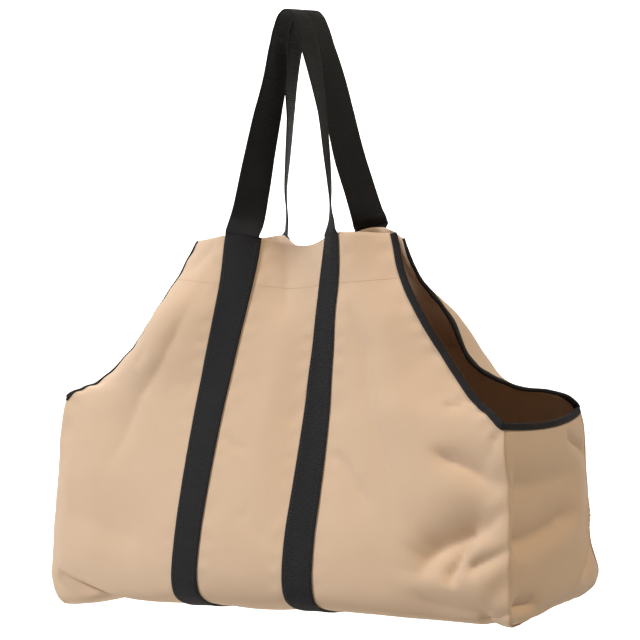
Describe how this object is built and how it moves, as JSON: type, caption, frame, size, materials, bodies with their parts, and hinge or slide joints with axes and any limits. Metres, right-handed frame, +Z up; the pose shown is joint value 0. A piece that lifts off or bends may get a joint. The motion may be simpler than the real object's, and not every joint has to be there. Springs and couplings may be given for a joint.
{
  "type": "log carrier",
  "caption": "Open-sided canvas log carrier with a rounded base, low boxed ends, dark bound edges and ribbed webbing handles, hanging from its handles.",
  "frame": {"origin": "underside of the handle arches, at the point where a hand, hook or bar holds them", "axes": "+Z up, +X along the length of the carrier to its right end, -Y towards its front"},
  "size_m": [0.6481, 0.2332, 0.6903],
  "materials": {
    "canvas": "tan plain-weave cotton canvas, matte",
    "binding": "near-black woven binding tape, matte",
    "webbing": "black webbing ribbed across its width, matte"
  },
  "bodies": {
    "root": {"main_panel": "canvas", "end_panel_left": "canvas", "end_panel_right": "canvas", "edge_binding_left": "binding", "edge_binding_right": "binding", "front_webbing": "webbing", "back_webbing": "webbing"}
  },
  "joints": []
}
